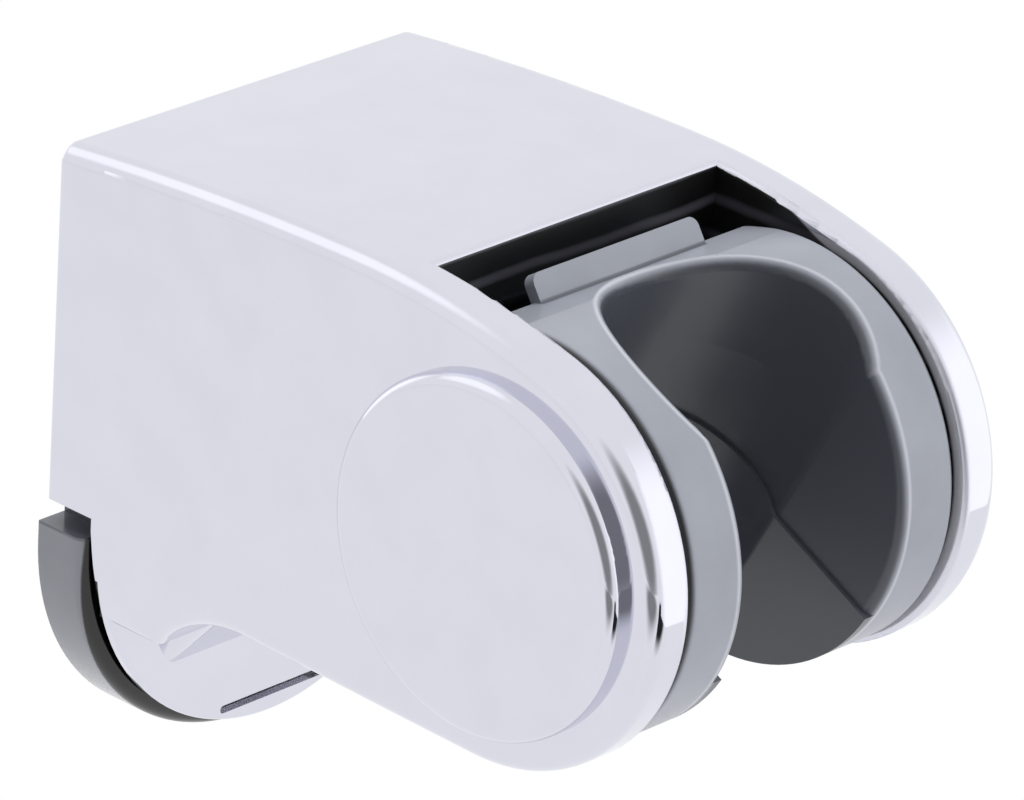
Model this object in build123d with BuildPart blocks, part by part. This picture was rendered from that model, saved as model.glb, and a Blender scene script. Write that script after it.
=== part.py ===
# Hand shower holder: a hollow housing on a wall plate, with a cradle that tilts between two arms
# Millimetres. X runs along the wall, Y into the wall, Z up. The wall face is Y = 0.
import os
from math import cos, radians, sin, sqrt, tan

from build123d import *

os.makedirs("parts", exist_ok=True)

# Housing outside
body_width = 45.0  # across the two flat sides
reach = 54.2  # wall face to tilt axis
nose_radius = 19.8  # round nose about the tilt axis
crown_back = 18.0  # highest line of the top, behind the tilt axis
crown_height = 22.3  # highest line of the top, above the tilt axis
rear_height = 20.5  # top at the wall
belly_slope = 1.5  # degrees, underside rising towards the wall
belly_back = 28.7  # the plain underside ends and the cove starts, behind the tilt axis
skirt_back = 40.6  # the cove meets the deeper skirt, behind the tilt axis
skirt_depth = 24.5  # lower edge of the skirt, below the tilt axis
outer_round = 1.8  # rounding of the long outer edges
wall_gap = 0.3  # rear edge of the housing, off the wall
tail_centre = 17.1  # half-round tail of the housing, its centre below the tilt axis
tail_thick = 2.0
tail_round = 0.5
groove_width = 0.9  # dark groove round the tail, in front of the wall plate's flange
groove_depth = 1.6
groove_top = 15.2  # the groove runs out on the sides, below the tilt axis
toe_half = 15.0  # wedge between skirt and tail
toe_low = 30.5  # the wedge meets the face of the tail, below the tilt axis
toe_round = 2.0
toe_notch = 2.8  # half width of the screw access in the wedge
slot_length = 13.6  # release slot in the tail
slot_height = 0.8
slot_rise = 2.1  # release slot, up from the lower edge of the tail

# Housing inside
wall = 2.4  # shell thickness
arm_inner = 17.8  # half distance between the two arms
pocket_gap = 1.0  # cradle to the round back of its pocket
window_back = 11.7  # rear edge of the top opening, behind the tilt axis
belly_open = 17.0  # rear edge of the opening below for the hose, behind the tilt axis
pocket_wall = 2.2  # partition between pocket and rear chamber
rim_round = 0.6  # rounding of the opening for the cradle
chamber_floor = 15.8  # front floor of the rear chamber, below the tilt axis
floor_back = 31.5  # the front floor ends, behind the tilt axis

# Cradle
cradle_radius = 19.2
cradle_half = 17.2
cradle_tilt = 27.0  # degrees, socket leaning forward at rest
seat_radius = 11.6  # socket at its step, the narrow end of the taper
seat_taper = 2.0  # degrees per side
seat_step = 0.4  # ledge at the bottom of the taper
step_depth = 1.2  # the step lies below the tilt axis
throat_draft = 1.0  # degrees per side below the step
slot_half = 9.7  # half width of the hose slot
corner_round = 1.2  # upright corners between socket and slot
mouth_round = 1.0  # lead-in round of mouth and slot
cheek_round = 1.0  # round of the cradle ends
land_start = 10.8  # flat land behind the mouth, back from the socket axis
land_end = 14.2
relief_floor = 3.0  # floor of the relief behind the land, above the tilt axis
tab_half = 10.5  # half width of the thumb tab
tab_foot = 13.6  # foot of its front face on the land, back from the socket axis
tab_length = 2.7
tab_lean = 30.0  # degrees, its front face from square to the socket axis
tab_thick = 1.2
tab_corner = 1.0

# Pivots
pivot_hole = 3.05  # radius through the arms
running_gap = 0.05  # radial clearance of a turning shank
thread_gap = 0.03  # radial clearance kept between screw and insert
insert_radius = 3.3
insert_length = 3.5
thread_radius = 2.0
washer_radius = 8.0
washer_thick = 1.0
washer_gap = 0.05  # washer to arm
recess_radius = 15.2  # round recess in each arm under its cap
recess_depth = 2.0
head_radius = 5.0
head_thick = 1.1
drive_length = 4.4  # cross slot of the heads
drive_width = 1.0
spring_thick = 0.35
spring_rise = 0.2  # dish left in the spring when it is tightened

# Caps
cap_radius = 16.6
cap_height = 1.9
cap_round = 1.3
spigot_wall = 1.4
spigot_length = 1.5
press_gap = 0.02  # radial gap drawn at the pressed spigot

# Wall plate
plate_thick = 4.0  # tongue inside the housing
flange_thick = 6.0  # half-round lower flange
flange_radius = 22.9
flange_centre = 18.2  # centre of the half round, below the tilt axis
flange_top = 16.3  # top of the flange, below the tilt axis
flange_round = 1.5
ledge_gap = 2.3  # housing to the top of the flange
plate_gap = 0.4  # tongue to chamber walls
plate_top = 16.5
screw_spacing = 26.0  # wall screw holes
screw_hole = 2.3  # radius
screw_sink = 4.4  # radius of the countersink
hook_half = 9.0  # hook that holds the top of the housing
hook_low = 7.0
hook_base = 3.0
hook_high = 14.5
hook_slot = 2.0
hook_thick = 2.0
rib_thick = 1.6  # housing rib that drops into the hook
rib_low = 10.4
boss_half = 4.4  # boss for the lock screw
boss_reach = 14.2
boss_top = 11.0
lock_reach = 11.6  # lock screw axis, off the wall
lock_radius = 1.25
lock_hole = 1.45  # radius through the housing floor
lock_sink = 2.4  # radius of its countersunk head
lock_length = 11.0
seat_gap = 0.05  # screw head to its countersink
hex_radius = 0.87  # hexagon drive, across corners / 2
hex_depth = 0.8
lock_insert_radius = 2.1
lock_insert_length = 5.5

# Values that follow from the dimensions above
half = body_width / 2
pivot_y = -reach
pocket_radius = cradle_radius + pocket_gap
chamber_half = half - wall
recess_floor = half - recess_depth
tilt_axis = Axis((0, pivot_y, 0), (1, 0, 0))
tilt_sin = sin(radians(cradle_tilt))
tilt_cos = cos(radians(cradle_tilt))
socket_plane = Plane(origin=(0, pivot_y, 0), x_dir=(1, 0, 0), z_dir=(0, -tilt_sin, tilt_cos))
cheek_plane = Plane(origin=(0, pivot_y, 0), x_dir=(0, tilt_cos, tilt_sin), z_dir=(1, 0, 0))

# Housing
blend_radius = (crown_back**2 + crown_height**2 - nose_radius**2) / (2 * (crown_height - nose_radius))
blend_share = nose_radius / (blend_radius - nose_radius)
crown = (pivot_y + crown_back, crown_height)
nose_top = (pivot_y - crown_back * blend_share, (blend_radius - crown_height) * blend_share)
nose_tip = (pivot_y - nose_radius, 0)
slope = radians(belly_slope)
nose_low = (pivot_y + nose_radius * sin(slope), -nose_radius * cos(slope))
belly_end = (pivot_y + belly_back, nose_low[1] + (belly_back - nose_radius * sin(slope)) * tan(slope))
skirt_start = (pivot_y + skirt_back, -skirt_depth)
flange_front = -flange_thick - wall_gap
tail_front = tail_thick - flange_front
rear_top = (-wall_gap, rear_height)
notch_z = -flange_top + ledge_gap
front_top = window_back + pocket_wall
shell_radius = pocket_radius + pocket_wall
chamber_top = crown_height - wall
arc_top = (pivot_y + front_top, sqrt(shell_radius**2 - front_top**2))
arc_mid = (pivot_y + shell_radius, 0)
front_low = belly_open + pocket_wall
arc_low = (pivot_y + front_low, -sqrt(shell_radius**2 - front_low**2))
floor_start = (pivot_y + front_low, -chamber_floor)
skirt_floor = skirt_depth - wall
floor_end = (pivot_y + floor_back, -chamber_floor)
skirt_inner = (pivot_y + skirt_back, -skirt_floor)
pocket_start = (pivot_y + window_back, sqrt(pocket_radius**2 - window_back**2))
pocket_end = (pivot_y + belly_open, -sqrt(pocket_radius**2 - belly_open**2))
pocket_mid = (pivot_y + pocket_radius, 0)
clear = 2 * nose_radius  # well outside the housing
rib_front = -plate_thick - (hook_slot - rib_thick) / 2
lock_point = Plane(origin=(0, -lock_reach, -skirt_depth), z_dir=(0, 0, -1))

with BuildPart() as tail:
    with BuildSketch(Plane.XZ.offset(tail_front)):
        with Locations((0, -tail_centre)):
            Circle(half)
    extrude(amount=groove_width - tail_thick)
    fillet(tail.edges().sort_by(Axis.Y)[0], radius=tail_round)
    with BuildSketch(Plane.XZ.offset(-flange_front)):
        with Locations((0, -tail_centre)):
            Circle(half - groove_depth)
    extrude(amount=groove_width)
    with BuildSketch(Plane.XZ.offset(-flange_front)):
        with Locations((0, -skirt_floor)):
            Rectangle(body_width, clear, align=(Align.CENTER, Align.MIN))
    extrude(amount=tail_thick, mode=Mode.SUBTRACT)

with BuildPart() as toe:
    with BuildSketch(Plane.YZ):
        Polygon(
            (flange_front - tail_thick / 2, -skirt_floor),
            (pivot_y + skirt_back, -skirt_floor),
            (pivot_y + skirt_back, -skirt_depth),
            (-tail_front, -toe_low),
            (flange_front - tail_thick / 2, -toe_low),
            align=None,
        )
    extrude(amount=toe_half, both=True)
    low_edges = toe.edges().filter_by(lambda e: -toe_low < (e @ 0.5).Z < -skirt_depth)
    fillet(low_edges.filter_by(lambda e: (e @ 0.5).Y < -tail_front), radius=toe_round)

with BuildPart() as housing:
    with BuildSketch(Plane.YZ):
        with BuildLine():
            TangentArc(crown, rear_top, tangent=(1, 0))
            TangentArc(crown, nose_top, tangent=(-1, 0))
            ThreePointArc(nose_top, nose_tip, nose_low)
            Line(nose_low, belly_end)
            TangentArc(belly_end, skirt_start, tangent=(cos(slope), sin(slope)))
            Line(skirt_start, (flange_front, -skirt_depth))
            Line((flange_front, -skirt_depth), (flange_front, notch_z))
            Line((flange_front, notch_z), (-wall_gap, notch_z))
            Line((-wall_gap, notch_z), rear_top)
        make_face()
    extrude(amount=half, both=True)
    # the sides tuck in below to the outline of the tail
    with BuildSketch(Plane.XZ):
        with BuildLine():
            Line((half, -tail_centre), (half, clear))
            Line((half, clear), (-half, clear))
            Line((-half, clear), (-half, -tail_centre))
            ThreePointArc((-half, -tail_centre), (0, -tail_centre - half), (half, -tail_centre))
        make_face()
    extrude(amount=reach + clear, mode=Mode.INTERSECT)
    side_edges = housing.edges().filter_by(lambda e: abs((e @ 0.5).X) > half - outer_round)
    long_edges = side_edges.filter_by(lambda e: (e @ 0.5).Y < flange_front - 1)
    fillet(long_edges.filter_by(lambda e: abs((e @ 0.5).Z + tail_centre) > 0.01), radius=outer_round)
    fillet(housing.faces().sort_by(Axis.Y)[-1].edges().filter_by(Axis.X).sort_by(Axis.Z)[-1], radius=0.8)
    outside = housing.faces()
    # rear chamber, open to the wall
    with BuildSketch(Plane.YZ):
        with BuildLine():
            Line((1, rear_height - wall), (crown[0], chamber_top))
            Line((crown[0], chamber_top), (arc_top[0], chamber_top))
            Line((arc_top[0], chamber_top), arc_top)
            ThreePointArc(arc_top, arc_mid, arc_low)
            Line(arc_low, floor_start)
            Line(floor_start, floor_end)
            Line(floor_end, skirt_inner)
            Line(skirt_inner, (1, -skirt_floor))
            Line((1, -skirt_floor), (1, rear_height - wall))
        make_face()
    extrude(amount=chamber_half, both=True, mode=Mode.SUBTRACT)
    # pocket of the cradle, open at the top, front and underside
    with BuildSketch(Plane.YZ):
        with BuildLine():
            Line((pocket_start[0], clear), pocket_start)
            ThreePointArc(pocket_start, pocket_mid, pocket_end)
            Line(pocket_end, (pocket_end[0], -clear))
            Line((pocket_end[0], -clear), (pivot_y - clear, -clear))
            Line((pivot_y - clear, -clear), (pivot_y - clear, clear))
            Line((pivot_y - clear, clear), (pocket_start[0], clear))
        make_face()
    extrude(amount=arm_inner, both=True, mode=Mode.SUBTRACT)
    cut_edges = housing.edges(Select.LAST)
    rim_edges = cut_edges.filter_by(lambda e: min(f.distance_to(e @ 0.5) for f in outside) < 0.01)
    fillet(rim_edges, radius=rim_round)
    # cap recesses and pivot holes
    with BuildSketch(Plane.YZ.offset(recess_floor), Plane.YZ.offset(-half)):
        with Locations((pivot_y, 0)):
            Circle(recess_radius)
    extrude(amount=recess_depth, mode=Mode.SUBTRACT)
    with BuildSketch(Plane.YZ):
        with Locations((pivot_y, 0)):
            Circle(pivot_hole)
    extrude(amount=half, both=True, mode=Mode.SUBTRACT)
    # rib that hangs in the hook of the wall plate
    with BuildSketch(Plane.XZ.offset(-rib_front)):
        with Locations((0, rib_low)):
            Rectangle(2 * hook_half + 8, chamber_top - rib_low, align=(Align.CENTER, Align.MIN))
    extrude(amount=rib_thick)
    # groove on the sides, in front of the flange, then the half-round tail below the skirt
    with BuildSketch(Plane.YZ.offset(half - groove_depth), Plane.YZ.offset(-half)):
        Polygon(
            (flange_front, -groove_top),
            (flange_front - groove_width, -skirt_floor),
            (flange_front - groove_width, -skirt_depth),
            (flange_front, -skirt_depth),
            align=None,
        )
    extrude(amount=groove_depth, mode=Mode.SUBTRACT)
    add(tail.part)
    # wedge between skirt and tail, with a notch below the lock screw
    add(toe.part)
    with BuildSketch(Plane.XY.offset(-skirt_depth)):
        with Locations((0, -lock_reach)):
            Circle(toe_notch)
            Rectangle(2 * toe_notch, toe_notch, align=(Align.CENTER, Align.MAX))
    extrude(amount=-skirt_depth, mode=Mode.SUBTRACT)
    # release slot in the tail
    with BuildSketch(Plane.XZ.offset(tail_front)):
        with Locations((0, slot_rise - tail_centre - half)):
            SlotOverall(slot_length, slot_height)
    extrude(amount=-tail_thick, mode=Mode.SUBTRACT)
    # lock screw hole in the floor
    with Locations(lock_point):
        CounterSinkHole(lock_hole, lock_sink, depth=clear / 2, counter_sink_angle=90)

# Cradle
counter_floor = arm_inner - washer_gap - washer_thick
insert_end = counter_floor - insert_length
land_front = (land_start, sqrt(cradle_radius**2 - land_start**2))
land_rear = (land_end, sqrt(cradle_radius**2 - land_end**2))
land_share = (tab_foot - land_start) / (land_end - land_start)
foot_height = land_front[1] + (land_rear[1] - land_front[1]) * land_share
tab_sin = sin(radians(tab_lean))
tab_cos = cos(radians(tab_lean))
tab_tip = (tab_foot + tab_length * tab_cos, foot_height + tab_length * tab_sin)
tab_back = (tab_tip[0] + tab_thick * tab_sin, tab_tip[1] - tab_thick * tab_cos)
left_side = Plane(origin=(0, pivot_y, 0), x_dir=(0, -1, 0), z_dir=(-1, 0, 0))
right_side = Plane(origin=(0, pivot_y, 0), x_dir=(0, 1, 0), z_dir=(1, 0, 0))
past = 2 * cradle_radius  # well outside the cradle

with BuildPart() as cradle:
    with BuildSketch(right_side):
        Circle(cradle_radius)
    extrude(amount=cradle_half, both=True)
    fillet(cradle.edges().filter_by(GeomType.CIRCLE), radius=cheek_round)
    # tapered socket with its hose slot above the step, drafted throat below it
    with BuildSketch(socket_plane.offset(-step_depth)) as seat_outline:
        Circle(seat_radius)
        Rectangle(2 * slot_half, past, align=(Align.CENTER, Align.MAX))
        fillet(seat_outline.vertices().sort_by(Axis.Y)[-2:], radius=corner_round)
    extrude(amount=past, taper=-seat_taper, mode=Mode.SUBTRACT)
    with BuildSketch(socket_plane.offset(-step_depth)) as throat_outline:
        Circle(seat_radius - seat_step)
        Rectangle(2 * (slot_half - seat_step), past, align=(Align.CENTER, Align.MAX))
        fillet(throat_outline.vertices().sort_by(Axis.Y)[-2:], radius=corner_round)
    extrude(amount=-past, taper=-throat_draft, mode=Mode.SUBTRACT)
    # rounds of the mouth and the slot
    outer_edges = cradle.edges().filter_by(
        lambda e: abs(Vector(0, e.center().Y - pivot_y, e.center().Z).length - cradle_radius) < 0.5
        and abs(e.center().X) < seat_radius
        and cheek_plane.to_local_coords(e.center()).X < tab_foot
    )
    fillet(outer_edges.filter_by(lambda e: cheek_plane.to_local_coords(e.center()).Y > 0), radius=mouth_round)
    # flat land behind the mouth and the relief behind it
    with BuildSketch(cheek_plane):
        with BuildLine():
            Polyline(
                land_front,
                land_rear,
                (land_end, relief_floor),
                (past, relief_floor),
                (past, past),
                (land_start, past),
                close=True,
            )
        make_face()
    extrude(amount=past, both=True, mode=Mode.SUBTRACT)
    # thumb tab at the rear of the land
    with BuildSketch(cheek_plane):
        with BuildLine():
            Polyline(
                (tab_foot, foot_height),
                tab_tip,
                tab_back,
                (tab_foot, tab_back[1] - (tab_back[0] - tab_foot) * tab_sin / tab_cos),
                close=True,
            )
        make_face()
    extrude(amount=tab_half, both=True)
    behind = cradle.edges().filter_by(lambda e: cheek_plane.to_local_coords(e @ 0.5).X > tab_tip[0])
    tab_edges = behind.filter_by(lambda e: cheek_plane.to_local_coords(e @ 0.5).Y > foot_height)
    fillet(tab_edges.filter_by(Axis.X, reverse=True), radius=tab_corner)
    # counterbores for the friction washers and bores for the inserts
    for side in (left_side, right_side):
        with BuildSketch(side.offset(counter_floor)):
            Circle(washer_radius + plate_gap)
        extrude(amount=past, mode=Mode.SUBTRACT)
        with BuildSketch(side.offset(insert_end)):
            Circle(insert_radius)
        extrude(amount=insert_length, mode=Mode.SUBTRACT)

# Caps
with BuildPart() as cap_right:
    with BuildSketch(right_side.offset(half)):
        Circle(cap_radius)
    extrude(amount=cap_height)
    fillet(cap_right.edges().sort_by(Axis.X)[-1], radius=cap_round)
    with BuildSketch(right_side.offset(half)):
        Circle(recess_radius - press_gap)
        Circle(recess_radius - press_gap - spigot_wall, mode=Mode.SUBTRACT)
    extrude(amount=-spigot_length)
with BuildPart() as cap_left:
    mirror(cap_right.part, about=Plane.YZ)

# Pivot screws
shank_radius = pivot_hole - running_gap
head_under = recess_floor + spring_thick + spring_rise
with BuildPart() as pivot_screw_right:
    with BuildSketch(right_side.offset(counter_floor)):
        Circle(shank_radius)
    extrude(amount=head_under - counter_floor)
    with BuildSketch(right_side.offset(head_under)):
        Circle(head_radius)
    extrude(amount=head_thick)
    fillet(pivot_screw_right.edges().sort_by(Axis.X)[-1], radius=head_thick / 2)
    with BuildSketch(right_side.offset(insert_end)):
        Circle(thread_radius - thread_gap)
    extrude(amount=insert_length)
    with BuildSketch(right_side.offset(head_under + head_thick)):
        Rectangle(drive_length, drive_width)
        Rectangle(drive_width, drive_length)
    extrude(amount=-head_thick / 2, mode=Mode.SUBTRACT)
with BuildPart() as pivot_screw_left:
    mirror(pivot_screw_right.part, about=Plane.YZ)

# Dished springs under the screw heads
with BuildPart() as disc_spring_right:
    with BuildSketch(Plane.XY):
        with BuildLine():
            Polyline(
                (recess_floor, pivot_y + head_radius),
                (recess_floor + spring_thick, pivot_y + head_radius),
                (head_under, pivot_y + pivot_hole),
                (head_under - spring_thick, pivot_y + pivot_hole),
                close=True,
            )
        make_face()
    revolve(axis=tilt_axis)
with BuildPart() as disc_spring_left:
    mirror(disc_spring_right.part, about=Plane.YZ)

# Friction washers between arms and cradle
with BuildPart() as friction_washer_right:
    with BuildSketch(right_side.offset(counter_floor)):
        Circle(washer_radius)
        Circle(pivot_hole, mode=Mode.SUBTRACT)
    extrude(amount=washer_thick)
with BuildPart() as friction_washer_left:
    mirror(friction_washer_right.part, about=Plane.YZ)

# Threaded inserts in the cradle
with BuildPart() as pivot_insert_right:
    with BuildSketch(right_side.offset(insert_end)):
        Circle(insert_radius)
        Circle(thread_radius, mode=Mode.SUBTRACT)
    extrude(amount=insert_length)
with BuildPart() as pivot_insert_left:
    mirror(pivot_insert_right.part, about=Plane.YZ)

# Wall plate
flange_low = flange_centre + flange_radius
tongue_half = chamber_half - plate_gap
boss_low = skirt_floor - plate_gap
lock_top = -skirt_depth + lock_length
boss_mid = (boss_top + boss_low) / 2
with BuildPart() as wall_plate:
    with BuildSketch(Plane.XZ):
        with BuildLine():
            Line((-flange_radius, -flange_top), (flange_radius, -flange_top))
            Line((flange_radius, -flange_top), (flange_radius, -flange_centre))
            ThreePointArc((flange_radius, -flange_centre), (0, -flange_low), (-flange_radius, -flange_centre))
            Line((-flange_radius, -flange_centre), (-flange_radius, -flange_top))
        make_face()
    extrude(amount=flange_thick)
    fillet(wall_plate.faces().sort_by(Axis.Y)[0].edges().sort_by(Axis.Z)[:-1], radius=flange_round)
    with BuildSketch(Plane.XZ):
        with Locations((0, -flange_top)):
            Rectangle(2 * tongue_half, plate_top + flange_top, align=(Align.CENTER, Align.MIN))
    extrude(amount=plate_thick)
    # hook for the housing
    with BuildSketch(Plane.XZ.offset(plate_thick)):
        with Locations((0, hook_low)):
            Rectangle(2 * hook_half, hook_base, align=(Align.CENTER, Align.MIN))
    extrude(amount=hook_slot + hook_thick)
    with BuildSketch(Plane.XZ.offset(plate_thick + hook_slot)):
        with Locations((0, hook_low)):
            Rectangle(2 * hook_half, hook_high - hook_low, align=(Align.CENTER, Align.MIN))
    extrude(amount=hook_thick)
    # boss for the lock screw
    with BuildSketch(Plane.XZ):
        with Locations((0, -boss_mid)):
            Rectangle(2 * boss_half, boss_low - boss_top)
    extrude(amount=boss_reach)
    with BuildSketch(Plane.XY.offset(-boss_low)):
        with Locations((0, -lock_reach)):
            Circle(lock_insert_radius)
    extrude(amount=lock_insert_length, mode=Mode.SUBTRACT)
    with BuildSketch(Plane.XY.offset(-boss_low)):
        with Locations((0, -lock_reach)):
            Circle(lock_hole)
    extrude(amount=lock_top + boss_low + plate_gap, mode=Mode.SUBTRACT)
    # wall screw holes
    with Locations(Plane.XZ.offset(plate_thick)):
        with GridLocations(screw_spacing, 0, 2, 1):
            CounterSinkHole(radius=screw_hole, counter_sink_radius=screw_sink, depth=plate_thick)

# Lock screw and its insert
with BuildPart() as lock_insert:
    with BuildSketch(Plane.XY.offset(-boss_low)):
        with Locations((0, -lock_reach)):
            Circle(lock_insert_radius)
            Circle(lock_radius, mode=Mode.SUBTRACT)
    extrude(amount=lock_insert_length)
lock_axis = Axis((0, -lock_reach, 0), (0, 0, 1))
with BuildPart() as lock_screw:
    with BuildSketch(Plane.XZ.offset(lock_reach)):
        with BuildLine():
            Polyline(
                (0, -skirt_depth),
                (lock_sink - seat_gap, -skirt_depth),
                (lock_radius - thread_gap, -skirt_depth + lock_sink - seat_gap - lock_radius + thread_gap),
                (lock_radius - thread_gap, lock_top),
                (0, lock_top),
                close=True,
            )
        make_face()
    revolve(axis=lock_axis)
    with BuildSketch(Plane.XY.offset(-skirt_depth)):
        with Locations((0, -lock_reach)):
            RegularPolygon(hex_radius, 6)
    extrude(amount=hex_depth, mode=Mode.SUBTRACT)

pieces = {
    "housing": housing,
    "cradle": cradle,
    "cap_left": cap_left,
    "cap_right": cap_right,
    "pivot_screw_left": pivot_screw_left,
    "pivot_screw_right": pivot_screw_right,
    "disc_spring_left": disc_spring_left,
    "disc_spring_right": disc_spring_right,
    "friction_washer_left": friction_washer_left,
    "friction_washer_right": friction_washer_right,
    "pivot_insert_left": pivot_insert_left,
    "pivot_insert_right": pivot_insert_right,
    "wall_plate": wall_plate,
    "lock_insert": lock_insert,
    "lock_screw": lock_screw,
}
for name, piece in pieces.items():
    piece.part.label = name
    export_step(piece.part, "parts/" + name + ".step")
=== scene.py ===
import math

import bpy
from mathutils import Matrix, Vector


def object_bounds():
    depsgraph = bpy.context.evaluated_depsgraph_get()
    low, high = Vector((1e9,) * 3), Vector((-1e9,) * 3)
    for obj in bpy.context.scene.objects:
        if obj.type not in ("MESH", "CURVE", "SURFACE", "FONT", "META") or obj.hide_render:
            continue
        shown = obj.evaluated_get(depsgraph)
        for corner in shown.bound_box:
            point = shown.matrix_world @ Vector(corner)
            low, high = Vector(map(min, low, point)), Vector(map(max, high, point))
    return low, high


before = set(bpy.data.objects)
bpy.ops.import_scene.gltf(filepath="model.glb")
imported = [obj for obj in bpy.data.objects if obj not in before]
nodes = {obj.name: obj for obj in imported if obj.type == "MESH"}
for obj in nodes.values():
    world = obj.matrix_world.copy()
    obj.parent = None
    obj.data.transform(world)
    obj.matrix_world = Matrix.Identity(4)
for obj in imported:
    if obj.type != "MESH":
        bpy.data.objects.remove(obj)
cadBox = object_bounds()
mm = 0.001
tiltAxis = (0, -54.2 * mm, 0)
waveLength = math.pi / 10  # over which Blender's wave texture repeats at scale 1
plainWhite = (1, 1, 1, 1)
fadeOut = {"To Min": 1.0, "To Max": 0.0}
smooth = {"interpolation_type": "SMOOTHSTEP"}
print("frame loaded:", len(nodes), "nodes")


def linear(hexColour):
    channels = [int(hexColour[i:i + 2], 16) / 255 for i in (1, 3, 5)]
    return tuple(c / 12.92 if c <= 0.04045 else ((c + 0.055) / 1.055) ** 2.4 for c in channels) + (1.0,)


def link(tree, node, links):  # a node given as a source stands for its first output in use
    for socket, source in links.items():
        if isinstance(source, bpy.types.Node):
            source = next(output for output in source.outputs if output.enabled)
        tree.links.new(source, node.inputs[socket])


def put(tree, kind, values=None, links=None, **settings):  # one node, its settings, sockets and links
    node = tree.nodes.new(kind)
    for name, value in settings.items():
        setattr(node, name, value)
    for socket, value in (values or {}).items():
        node.inputs[socket].default_value = value
    link(tree, node, links or {})
    return node


def emptyTree(block):  # of a material or a world
    block.use_nodes = True
    block.node_tree.nodes.clear()
    return block.node_tree


def newMaterial(name):
    material = bpy.data.materials.new(name)
    tree = emptyTree(material)
    shader = put(tree, "ShaderNodeBsdfPrincipled")
    put(tree, "ShaderNodeOutputMaterial", links={"Surface": shader})
    return material, tree, shader


def perMetre(sizeMm):  # noise scale for a pattern that repeats over sizeMm
    return 1.0 / (sizeMm * mm)


def insideBox(tree, place, low, high):  # 1 inside a box given in mm
    middle = [(a + b) / 2 * mm for a, b in zip(low, high)]
    reach = [(b - a) / 2 * mm for a, b in zip(low, high)]
    off = put(tree, "ShaderNodeVectorMath", {1: middle}, {0: place}, operation="SUBTRACT")
    away = put(tree, "ShaderNodeVectorMath", links={0: off}, operation="ABSOLUTE")
    past = put(tree, "ShaderNodeVectorMath", {1: reach}, {0: away}, operation="SUBTRACT")
    part = put(tree, "ShaderNodeSeparateXYZ", links={0: past}).outputs
    most = put(tree, "ShaderNodeMath", links={0: part["X"], 1: part["Y"]}, operation="MAXIMUM")
    most = put(tree, "ShaderNodeMath", links={0: most, 1: part["Z"]}, operation="MAXIMUM")
    return put(tree, "ShaderNodeMath", {1: 0.0}, {0: most}, operation="LESS_THAN")


# chrome-plated ABS: bright electroplate with a faint lilac cast, and painted shade, dark and rough,
# inside the pockets, the openings, the rear chamber and the groove round the tail
chromeFinish = {
    "light": "#dddee8",
    "dark": "#d5d6e1",
    "mottleMm": 6.0,  # cloudy change of the plate
    "hazeMm": 16.0,  # dried water haze
    "hazeGrit": 0.62,
    "rough": (0.03, 0.075),
    "peelMm": 2.5,  # orange peel of the moulding below
    "peelDepthMm": 0.01,
    "peel": 0.02,
    # painted shade inside, near black, with lighter painted reflections as streaks
    "paintedStreakLight": "#4a4a52",
    "paintedShadeDark": "#050506",
    "streakMm": 3.4,  # painted reflections: light streaks across the painted shade inside
    "streakBend": 1.5,
    "streakGrit": 0.6,
    "streakFrom": 0.72,  # share of each wave that stays dark
    "insideRough": 0.42,
    "between": (17.81, 17.83),  # the painted shade stops at the inner faces of the arms, mm from the middle
    "round": (18.2, 18.6),  # and fades out over these distances from the tilt axis
    "opens": (-57.0, -47.0, 4.0),  # which grow by 4 mm between these two places, towards the openings
    "rimRadius": 19.3,  # pale matt strip outside the painted shade, up to here on the inner faces
    "rimRough": 0.9,
    "lipEnds": (18.3, 18.7),  # softly polished rounding from the arms to the opening, mm from the middle
    "lipBack": -42.0,
    "lipRough": 0.4,
    "paintedShadeBoxes": [  # boxes in mm of painted shade
        ((-17.85, -50, 4), (17.85, -42.45, 30)),  # up to the top opening
        ((-17.85, -54, -30), (17.85, -37.15, -5)),  # down to the opening for the hose
        ((-17.85, -44, -14), (17.85, -33.9, 16.8)),  # round back of the pocket
        ((-20.15, -33.4, -15.9), (20.15, 1, 19.6)),  # rear chamber
        ((-22.3, -7.22, -45), (-8, 1, -15.2)),  # groove round the tail, left
        ((8, -7.22, -45), (22.3, 1, -15.2)),  # and right
    ],
}


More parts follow.
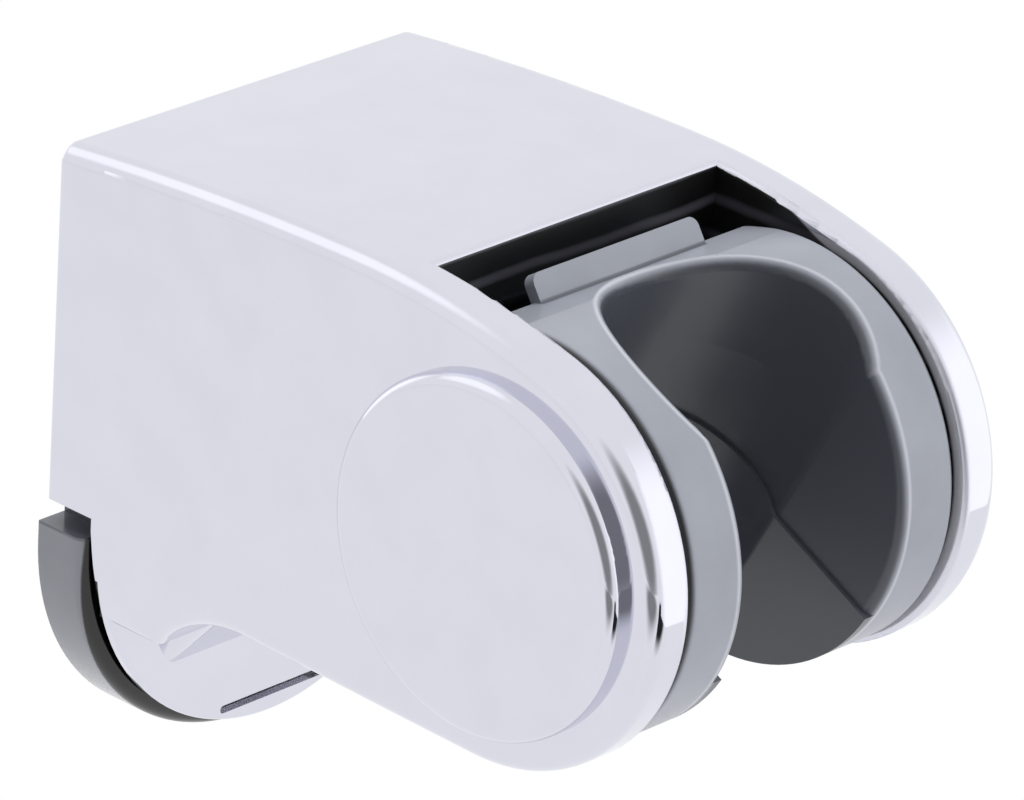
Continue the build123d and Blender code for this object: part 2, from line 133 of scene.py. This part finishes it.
def chromePlatedAbs():
    look = chromeFinish
    material, tree, shader = newMaterial("chrome_plated_abs")
    place = put(tree, "ShaderNodeTexCoord").outputs["Object"]
    mottle = put(tree, "ShaderNodeTexNoise", {"Scale": perMetre(look["mottleMm"]), "Detail": 4.0},
                 {"Vector": place})
    plate = put(tree, "ShaderNodeMix", {6: linear(look["dark"]), 7: linear(look["light"])},
                {"Factor": mottle}, data_type="RGBA")
    # painted reflections: lighter streaks across the dark inside
    reflectionStreak = put(tree, "ShaderNodeTexWave",
                 {"Scale": perMetre(look["streakMm"]) * waveLength, "Distortion": look["streakBend"],
                  "Detail": 3.0, "Detail Scale": look["streakGrit"]},
                 {"Vector": place}, wave_type="BANDS", bands_direction="Z")
    line = put(tree, "ShaderNodeMapRange", {"From Min": look["streakFrom"], "From Max": 1.0},
               {"Value": reflectionStreak.outputs["Fac"]})
    shadeAndStreaks = put(tree, "ShaderNodeMix",
               {6: linear(look["paintedShadeDark"]), 7: linear(look["paintedStreakLight"])},
               {"Factor": line}, data_type="RGBA")

    # painted shade, dark and rougher: between the arms round the tilt axis, and in the boxes
    off = put(tree, "ShaderNodeVectorMath", {1: tiltAxis}, {0: place}, operation="SUBTRACT")
    flat = put(tree, "ShaderNodeVectorMath", {1: (0, 1, 1)}, {0: off}, operation="MULTIPLY")
    away = put(tree, "ShaderNodeVectorMath", links={0: flat}, operation="LENGTH")
    part = put(tree, "ShaderNodeSeparateXYZ", links={0: place}).outputs
    begin, end, growth = (size * mm for size in look["opens"])
    opens = put(tree, "ShaderNodeMapRange", {"From Min": begin, "From Max": end, "To Max": growth},
                {"Value": part["Y"]}, **smooth)
    past = put(tree, "ShaderNodeMath", links={0: away, 1: opens}, operation="SUBTRACT")
    begin, end = (size * mm for size in look["round"])
    near = put(tree, "ShaderNodeMapRange", {"From Min": begin, "From Max": end, **fadeOut},
               {"Value": past}, **smooth)
    across = put(tree, "ShaderNodeMath", links={0: part["X"]}, operation="ABSOLUTE")
    begin, end = (size * mm for size in look["between"])
    amid = put(tree, "ShaderNodeMapRange", {"From Min": begin, "From Max": end, **fadeOut},
               {"Value": across}, **smooth)
    paintedShade = put(tree, "ShaderNodeMath", links={0: near, 1: amid}, operation="MULTIPLY")
    for low, high in look["paintedShadeBoxes"]:
        box = insideBox(tree, place, low, high)
        paintedShade = put(tree, "ShaderNodeMath", links={0: paintedShade, 1: box}, operation="MAXIMUM")
    colour = put(tree, "ShaderNodeMix", links={"Factor": paintedShade, 6: plate, 7: shadeAndStreaks}, data_type="RGBA")

    # roughness: haze on the plate, then the polished lip, the matt rim and the rough painted-shade
    # inside
    haze = put(tree, "ShaderNodeTexNoise",
               {"Scale": perMetre(look["hazeMm"]), "Detail": 6.0, "Roughness": look["hazeGrit"]},
               {"Vector": place})
    rough = put(tree, "ShaderNodeMapRange",
                {"To Min": look["rough"][0], "To Max": look["rough"][1]}, {"Value": haze})
    begin, end = (size * mm for size in look["lipEnds"])
    lip = put(tree, "ShaderNodeMapRange", {"From Min": begin, "From Max": end, **fadeOut},
              {"Value": across}, **smooth)
    front = put(tree, "ShaderNodeMath", {1: look["lipBack"] * mm}, {0: part["Y"]},
                operation="LESS_THAN")
    lip = put(tree, "ShaderNodeMath", links={0: lip, 1: front}, operation="MULTIPLY")
    rim = put(tree, "ShaderNodeMath", {1: look["rimRadius"] * mm}, {0: away}, operation="LESS_THAN")
    rim = put(tree, "ShaderNodeMath", links={0: rim, 1: amid}, operation="MULTIPLY")
    for name, share in (("lipRough", lip), ("rimRough", rim), ("insideRough", paintedShade)):
        rough = put(tree, "ShaderNodeMix", {"B": look[name]}, {"Factor": share, "A": rough})
    dulled = put(tree, "ShaderNodeMath", links={0: paintedShade, 1: rim}, operation="MAXIMUM")
    metal = put(tree, "ShaderNodeMath", {0: 1.0}, {1: dulled}, operation="SUBTRACT")
    peel = put(tree, "ShaderNodeTexNoise", {"Scale": perMetre(look["peelMm"]), "Detail": 1.0},
               {"Vector": place})
    bump = put(tree, "ShaderNodeBump",
               {"Strength": look["peel"], "Distance": look["peelDepthMm"] * mm}, {"Height": peel})
    link(tree, shader, {"Base Color": colour, "Roughness": rough, "Metallic": metal, "Normal": bump})
    return material


absMoulding = {"ior": 1.54, "grainDepthMm": 0.02}


def mouldedAbs(name, look):  # cloudy solid colour and fine mould grain, returns what a piece adds to
    material, tree, shader = newMaterial(name)
    place = put(tree, "ShaderNodeTexCoord").outputs["Object"]
    cloud = put(tree, "ShaderNodeTexNoise", {"Scale": perMetre(look["cloudMm"]), "Detail": 5.0},
                {"Vector": place})
    colour = put(tree, "ShaderNodeMix", {6: linear(look["dark"]), 7: linear(look["light"])},
                 {"Factor": cloud}, data_type="RGBA")
    rough = put(tree, "ShaderNodeMapRange",
                {"To Min": look["rough"][0], "To Max": look["rough"][1]}, {"Value": cloud})
    grain = put(tree, "ShaderNodeTexNoise", {"Scale": perMetre(look["grainMm"]), "Detail": 3.0},
                {"Vector": place})
    bump = put(tree, "ShaderNodeBump",
               {"Strength": look["grain"], "Distance": absMoulding["grainDepthMm"] * mm},
               {"Height": grain})
    link(tree, shader, {"Normal": bump})
    shader.inputs["IOR"].default_value = absMoulding["ior"]
    return material, tree, shader, place, colour, rough


# satin grey ABS of the cradle: light outside; painted shade in the socket, at the foot of the tab and on
# both sides in the gaps beside the arms; painted highlight round the mouth
cradleFinish = {
    "light": "#a2a6b0",
    "dark": "#868a94",
    "cloudMm": 9.0,
    "grainMm": 0.35,  # real grain is about 0.1 mm, drawn coarser so that it shows
    "grain": 0.05,
    "rough": (0.26, 0.38),
    # painted shade: the socket drawn darker than the outside
    "socket": "#4d5159",
    "socketTilt": 27.0,  # degrees
    "socketRadius": 12.0,  # mm, as all the lengths below
    "slotHalf": 10.05,
    "widening": 0.02,  # per mm up the socket
    "mouthFade": 0.6,
    "mouthHighlight": "#b8bbc4",  # painted highlight round the rim of the mouth
    "mouthHighlightFade": (0.5, 0.8, 1.15),  # out from the socket: from, most, to
    # painted shade where the tab meets the land
    "creaseShade": "#5d6069",
    "creaseLine": (13.6, 13.44),  # foot of the tab, back from and up the socket axis
    "creaseHalf": 10.5,
    "creaseFade": (0.15, 0.4),
    # painted shade on the two sides of the cradle, in the gaps beside the arms
    "gapShade": "#1b1c1f",
    "gapShadeFade": (16.4, 16.9),
}


def satinGreyAbs():
    look = cradleFinish
    material, tree, shader, place, colour, rough = mouldedAbs("satin_grey_abs", look)
    off = put(tree, "ShaderNodeVectorMath", {1: tiltAxis}, {0: place}, operation="SUBTRACT")
    off = put(tree, "ShaderNodeVectorMath", {"Scale": 1 / mm}, {0: off}, operation="SCALE")
    turned = put(tree, "ShaderNodeVectorRotate", {"Angle": -math.radians(look["socketTilt"])},
                 {"Vector": off}, rotation_type="X_AXIS")
    part = put(tree, "ShaderNodeSeparateXYZ", links={0: turned}).outputs
    across = put(tree, "ShaderNodeMath", links={0: part["X"]}, operation="ABSOLUTE")

    # how far a point is out of the socket and its slot
    flat = put(tree, "ShaderNodeVectorMath", {1: (1, 1, 0)}, {0: turned}, operation="MULTIPLY")
    away = put(tree, "ShaderNodeVectorMath", links={0: flat}, operation="LENGTH")
    wider = put(tree, "ShaderNodeMath", {1: look["widening"]}, {0: part["Z"]}, operation="MULTIPLY")
    ring = put(tree, "ShaderNodeMath", links={0: away, 1: wider}, operation="SUBTRACT")
    ring = put(tree, "ShaderNodeMath", {1: look["socketRadius"]}, {0: ring}, operation="SUBTRACT")
    slot = put(tree, "ShaderNodeMath", links={0: across, 1: wider}, operation="SUBTRACT")
    slot = put(tree, "ShaderNodeMath", {1: look["slotHalf"]}, {0: slot}, operation="SUBTRACT")
    slot = put(tree, "ShaderNodeMath", links={0: slot, 1: part["Y"]}, operation="MAXIMUM")
    past = put(tree, "ShaderNodeMath", links={0: ring, 1: slot}, operation="MINIMUM")
    # painted shade in the socket and its slot, fading out over the mouth
    inside = put(tree, "ShaderNodeMapRange", {"From Max": look["mouthFade"], **fadeOut},
                 {"Value": past}, **smooth)
    # painted highlight: a lighter ring just out from the socket
    begin, most, end = look["mouthHighlightFade"]
    rise = put(tree, "ShaderNodeMapRange", {"From Min": begin, "From Max": most},
               {"Value": past}, **smooth)
    fall = put(tree, "ShaderNodeMapRange", {"From Min": most, "From Max": end, **fadeOut},
               {"Value": past}, **smooth)
    mouthHighlight = put(tree, "ShaderNodeMath", links={0: rise, 1: fall}, operation="MULTIPLY")

    # how near it is to the foot of the tab, for the painted shade there
    foot = put(tree, "ShaderNodeVectorMath", {1: (0, *look["creaseLine"])}, {0: turned},
               operation="SUBTRACT")
    foot = put(tree, "ShaderNodeVectorMath", {1: (0, 1, 1)}, {0: foot}, operation="MULTIPLY")
    foot = put(tree, "ShaderNodeVectorMath", links={0: foot}, operation="LENGTH")
    begin, end = look["creaseFade"]
    creaseShade = put(tree, "ShaderNodeMapRange", {"From Min": begin, "From Max": end, **fadeOut},
                 {"Value": foot}, **smooth)
    tab = put(tree, "ShaderNodeMath", {1: look["creaseHalf"]}, {0: across}, operation="LESS_THAN")
    creaseShade = put(tree, "ShaderNodeMath", links={0: creaseShade, 1: tab}, operation="MULTIPLY")

    # painted shade near the two sides of the cradle, next to the arms
    begin, end = look["gapShadeFade"]
    gapShade = put(tree, "ShaderNodeMapRange", {"From Min": begin, "From Max": end},
               {"Value": across}, **smooth)
    # painted highlight round the mouth, then painted shade at the foot of the tab, in the socket and
    # beside the arms
    for name, share in (("mouthHighlight", mouthHighlight), ("creaseShade", creaseShade), ("socket", inside), ("gapShade", gapShade)):
        colour = put(tree, "ShaderNodeMix", {7: linear(look[name])}, {"Factor": share, 6: colour},
                     data_type="RGBA")
    link(tree, shader, {"Base Color": colour, "Roughness": rough})
    return material


# gloss grey ABS of the wall plate: polished mould; painted shade, black round the front rim of the
# flange and darker on its top, and painted light behind the release slot
plateFinish = {
    "light": "#a6a8b1",
    "dark": "#8a8c95",
    "cloudMm": 12.0,
    "grainMm": 0.8,
    "grain": 0.03,
    "rough": (0.1, 0.2),
    # painted shade: black round the front rim of the flange, in the gap behind the tail of the housing
    "lip": "#08080a",
    "flangeShadeLine": -6.68,  # mm, the painted shade is where y + slant * z is below this
    "flangeShadeSlant": 0.06,
    "flangeShadeFade": 0.25,
    "flangeMiddle": (0, 0, -18.2),
    "flangeShadeRing": (20.0, 20.5),  # the painted shade lies outside this radius of the flange
    # painted shade: the top of the flange, under the housing, drawn darker
    "ledgeShade": "#70727c",
    "ledgeShadeFade": (-16.7, -16.4),
    "slotLight": "#ececee",  # painted light: bright metal face behind the release slot, so that the slot shows as a lighter line
    "slotLightRough": 0.7,
    "slotLightBox": ((-15, -9, -40), (15, -5, -35)),
    "slotLightRadius": 21.3,  # stays behind the tail of the housing
}


def glossGreyAbs():
    look = plateFinish
    material, tree, shader, place, colour, rough = mouldedAbs("gloss_grey_abs", look)
    inMm = put(tree, "ShaderNodeVectorMath", {"Scale": 1 / mm}, {0: place}, operation="SCALE")
    part = put(tree, "ShaderNodeSeparateXYZ", links={0: inMm}).outputs
    off = put(tree, "ShaderNodeVectorMath", {1: look["flangeMiddle"]}, {0: inMm},
              operation="SUBTRACT")
    flat = put(tree, "ShaderNodeVectorMath", {1: (1, 0, 1)}, {0: off}, operation="MULTIPLY")
    away = put(tree, "ShaderNodeVectorMath", links={0: flat}, operation="LENGTH")

    # painted shade on top of the flange
    begin, end = look["ledgeShadeFade"]
    ledgeShade = put(tree, "ShaderNodeMapRange", {"From Min": begin, "From Max": end},
                {"Value": part["Z"]}, **smooth)
    # painted shade round the front of the flange
    line = put(tree, "ShaderNodeMath", {1: look["flangeShadeSlant"]}, {0: part["Z"], 2: part["Y"]},
               operation="MULTIPLY_ADD")
    flangeShadeEnd = look["flangeShadeLine"] + look["flangeShadeFade"]
    lip = put(tree, "ShaderNodeMapRange", {"From Min": look["flangeShadeLine"], "From Max": flangeShadeEnd, **fadeOut},
              {"Value": line}, **smooth)
    begin, end = look["flangeShadeRing"]
    ring = put(tree, "ShaderNodeMapRange", {"From Min": begin, "From Max": end},
               {"Value": away}, **smooth)
    lip = put(tree, "ShaderNodeMath", links={0: lip, 1: ring}, operation="MULTIPLY")
    # painted light behind the release slot
    behind = put(tree, "ShaderNodeMath", {1: look["slotLightRadius"]}, {0: away}, operation="LESS_THAN")
    box = insideBox(tree, place, *look["slotLightBox"])
    slotLight = put(tree, "ShaderNodeMath", links={0: behind, 1: box}, operation="MULTIPLY")
    # painted shade on top of the flange and round its front, painted light behind the release slot
    for name, share in (("ledgeShade", ledgeShade), ("lip", lip), ("slotLight", slotLight)):
        colour = put(tree, "ShaderNodeMix", {7: linear(look[name])}, {"Factor": share, 6: colour},
                     data_type="RGBA")
    rough = put(tree, "ShaderNodeMix", {"B": look["slotLightRough"]}, {"Factor": slotLight, "A": rough})
    link(tree, shader, {"Base Color": colour, "Roughness": rough, "Metallic": slotLight})
    return material


# small metal and acetal parts inside the pivots, turned or stamped: fine rings round the tilt axis
innerFinishes = {
    "zinc_plated_steel": {"light": "#c9cbcf", "dark": "#aeb1b6", "metal": 1.0,
                          "rough": (0.22, 0.38), "lineMm": 0.25},
    "oiled_spring_steel": {"light": "#8d8f93", "dark": "#6c6e73", "metal": 1.0,
                           "rough": (0.25, 0.45), "lineMm": 0.3},
    "turned_brass": {"light": "#d9b876", "dark": "#c19a54", "metal": 1.0,
                     "rough": (0.18, 0.34), "lineMm": 0.2},
    "moulded_acetal": {"light": "#f0eee8", "dark": "#e2dfd6", "metal": 0.0,
                       "rough": (0.35, 0.5), "lineMm": 0.5},
}
innerShared = {"cloudMm": 3.0, "lineBend": 0.6, "line": 0.15, "lineDepthMm": 0.01}


def innerMaterial(name):
    look = {**innerShared, **innerFinishes[name]}
    material, tree, shader = newMaterial(name)
    place = put(tree, "ShaderNodeTexCoord").outputs["Object"]
    cloud = put(tree, "ShaderNodeTexNoise", {"Scale": perMetre(look["cloudMm"]), "Detail": 4.0},
                {"Vector": place})
    colour = put(tree, "ShaderNodeMix", {6: linear(look["dark"]), 7: linear(look["light"])},
                 {"Factor": cloud}, data_type="RGBA")
    rough = put(tree, "ShaderNodeMapRange",
                {"To Min": look["rough"][0], "To Max": look["rough"][1]}, {"Value": cloud})
    axis = put(tree, "ShaderNodeVectorMath", {1: tiltAxis}, {0: place}, operation="SUBTRACT")
    rings = put(tree, "ShaderNodeTexWave",
                {"Scale": perMetre(look["lineMm"]) * waveLength, "Distortion": look["lineBend"]},
                {"Vector": axis}, wave_type="RINGS", rings_direction="X")
    bump = put(tree, "ShaderNodeBump",
               {"Strength": look["line"], "Distance": look["lineDepthMm"] * mm},
               {"Height": rings.outputs["Fac"]})
    link(tree, shader, {"Base Color": colour, "Roughness": rough, "Normal": bump})
    shader.inputs["Metallic"].default_value = look["metal"]
    return material


chrome = chromePlatedAbs()
inner = {name: innerMaterial(name) for name in innerFinishes}
finishOf = {
    "housing": chrome,
    "cap_left": chrome,
    "cap_right": chrome,
    "wall_plate": glossGreyAbs(),
    "cradle": satinGreyAbs(),
    "pivot_screw_left": inner["zinc_plated_steel"],
    "pivot_screw_right": inner["zinc_plated_steel"],
    "lock_screw": inner["zinc_plated_steel"],
    "disc_spring_left": inner["oiled_spring_steel"],
    "disc_spring_right": inner["oiled_spring_steel"],
    "friction_washer_left": inner["moulded_acetal"],
    "friction_washer_right": inner["moulded_acetal"],
    "pivot_insert_left": inner["turned_brass"],
    "pivot_insert_right": inner["turned_brass"],
    "lock_insert": inner["turned_brass"],
}
for name, material in finishOf.items():
    nodes[name].data.materials.clear()
    nodes[name].data.materials.append(material)
print("finishes set:", len(finishOf))

# studio: white floor and surround, two soft boxes, and cards that only the mirror of the chrome shows
studio = {
    "floorDrop": 0.075,
    "floorSize": 6.0,
    "floorColour": "#f4f4f6",
    "floorRough": 0.8,
    "floorGlow": 0.93,  # share of plain white in what is seen of the floor
    "surround": 0.25,  # strength for everything but what is seen or mirrored
}
lamps = {
    "overhead_box": {"place": (0.25, 0.15, 0.85), "power": 12.0, "size": 1.4},
    "front_box": {"place": (0.3, -0.75, 0.2), "power": 3.5, "size": 0.8},
}
cards = {  # strength fades to plain white at the rim, from the share "core" of the half size outwards
    "grey_flag": {"place": (-0.38, -0.46, 0.12), "half": (0.48, 0.48), "strength": 0.28,
                  "core": 0.35},
    "white_reflector": {"place": (0.18, -0.215, 0.0), "half": (0.26, 0.26), "strength": 1.35,
                        "core": 0.4},
    "top_reflector": {"place": (-0.21, 0.42, 0.49), "half": (0.34, 0.34), "strength": 1.3,
                      "core": 0.4},
    "wall_reflector": {"place": (0.06, 0.6, 0.04), "half": (0.36, 0.3), "strength": 1.4,
                       "core": 0.4},
    "dark_card": {"place": (-0.025, -0.395, -0.115), "half": (0.15, 0.19), "strength": 0.02,
                  "core": 0.6, "flat": True},
    "floor_shade": {"place": (-0.32, -0.37, -0.114), "half": (0.24, 0.26), "strength": 0.28,
                    "core": 0.45, "flat": True},
}
aimPoint = Vector((0, -0.04, 0))


def flatPiece(name, half, material):
    x, y = half
    mesh = bpy.data.meshes.new(name)
    mesh.from_pydata([(-x, -y, 0), (x, -y, 0), (x, y, 0), (-x, y, 0)], [], [(0, 1, 2, 3)])
    mesh.materials.append(material)
    piece = bpy.data.objects.new(name, mesh)
    bpy.context.collection.objects.link(piece)
    return piece


def seenOrMirrored(tree):  # 1 for what the camera sees, directly or in metal and glass
    ray = put(tree, "ShaderNodeLightPath").outputs
    mirrored = put(tree, "ShaderNodeMath",
                   links={0: ray["Is Glossy Ray"], 1: ray["Is Transmission Ray"]},
                   operation="MAXIMUM")
    return put(tree, "ShaderNodeMath", links={0: ray["Is Camera Ray"], 1: mirrored},
               operation="MAXIMUM")


def buildFloor():
    size = studio["floorSize"]
    material, tree, shader = newMaterial("white_paper_sweep")
    shader.inputs["Base Color"].default_value = linear(studio["floorColour"])
    shader.inputs["Roughness"].default_value = studio["floorRough"]
    share = put(tree, "ShaderNodeMath", {1: studio["floorGlow"]}, {0: seenOrMirrored(tree)},
                operation="MULTIPLY")
    white = put(tree, "ShaderNodeEmission", {"Color": plainWhite, "Strength": 1.0})
    mix = put(tree, "ShaderNodeMixShader", links={0: share, 1: shader, 2: white})
    output = next(node for node in tree.nodes if node.type == "OUTPUT_MATERIAL")
    link(tree, output, {"Surface": mix})
    floor = flatPiece("floor", (size, size), material)
    floor.location.z = cadBox[0].z - studio["floorDrop"]


def buildSurround():
    world = bpy.data.worlds.new("studio")
    bpy.context.scene.world = world
    tree = emptyTree(world)
    soft = put(tree, "ShaderNodeBackground", {"Color": plainWhite, "Strength": studio["surround"]})
    white = put(tree, "ShaderNodeBackground", {"Color": plainWhite, "Strength": 1.0})
    mix = put(tree, "ShaderNodeMixShader", links={0: seenOrMirrored(tree), 1: soft, 2: white})
    put(tree, "ShaderNodeOutputWorld", links={"Surface": mix})


def buildLamp(name):
    setup = lamps[name]
    lamp = bpy.data.lights.new(name, "AREA")
    lamp.shape = "SQUARE"
    lamp.size = setup["size"]
    lamp.energy = setup["power"]
    holder = bpy.data.objects.new(name, lamp)
    holder.location = setup["place"]
    holder.rotation_euler = (aimPoint - holder.location).to_track_quat("-Z", "Y").to_euler()
    holder.visible_glossy = False
    bpy.context.collection.objects.link(holder)


def buildCard(name):
    setup = cards[name]
    x, y = setup["half"]
    material = bpy.data.materials.new(name)
    tree = emptyTree(material)
    place = put(tree, "ShaderNodeTexCoord").outputs["Object"]
    share = put(tree, "ShaderNodeVectorMath", {1: (1 / x, 1 / y, 1)}, {0: place},
                operation="MULTIPLY")
    away = put(tree, "ShaderNodeVectorMath", links={0: share}, operation="LENGTH")
    glow = put(tree, "ShaderNodeMapRange",
               {"From Min": setup["core"], "From Max": 1.0, "To Min": setup["strength"],
                "To Max": 1.0},
               {"Value": away}, **smooth)
    paint = put(tree, "ShaderNodeEmission", {"Color": plainWhite}, {"Strength": glow})
    put(tree, "ShaderNodeOutputMaterial", links={"Surface": paint})
    card = flatPiece(name, setup["half"], material)
    card.location = setup["place"]
    if not setup.get("flat"):  # flat ones lie on the floor
        card.rotation_euler = (aimPoint - card.location).to_track_quat("Z", "Y").to_euler()
    card.visible_camera = card.visible_diffuse = card.visible_shadow = False


buildFloor()
buildSurround()
for name in lamps:
    buildLamp(name)
for name in cards:
    buildCard(name)
print("studio built:", len(lamps), "lamps,", len(cards), "cards")

# camera: fitted to the photograph, in degrees and metres from the tilt axis
shot = {
    "azimuth": -47.74,
    "elevation": 24.21,
    "roll": 3.56,
    "lens": 299.56,
    "distance": 0.74543,
    "aimRight": -0.01308,
    "aimUp": 0.00743,
    "clip": (0.01, 20),
}


def buildCamera():
    azimuth, elevation, roll = (math.radians(shot[k]) for k in ("azimuth", "elevation", "roll"))
    level = math.cos(elevation)
    back = Vector((math.sin(azimuth) * level, -math.cos(azimuth) * level, math.sin(elevation)))
    right = (-back).cross(Vector((0, 0, 1))).normalized()
    up = right.cross(-back)
    side = math.cos(roll) * right + math.sin(roll) * up
    top = math.cos(roll) * up - math.sin(roll) * right
    target = Vector(tiltAxis) + shot["aimRight"] * side + shot["aimUp"] * top
    data = bpy.data.cameras.new("camera")
    data.lens = shot["lens"]
    data.clip_start, data.clip_end = shot["clip"]
    camera = bpy.data.objects.new("camera", data)
    turn = Matrix((side, top, back)).transposed().to_4x4()
    camera.matrix_world = Matrix.Translation(target + back * shot["distance"]) @ turn
    bpy.context.collection.objects.link(camera)
    bpy.context.scene.camera = camera


buildCamera()
bpy.context.scene.view_settings.view_transform = "Standard"
print("camera set")
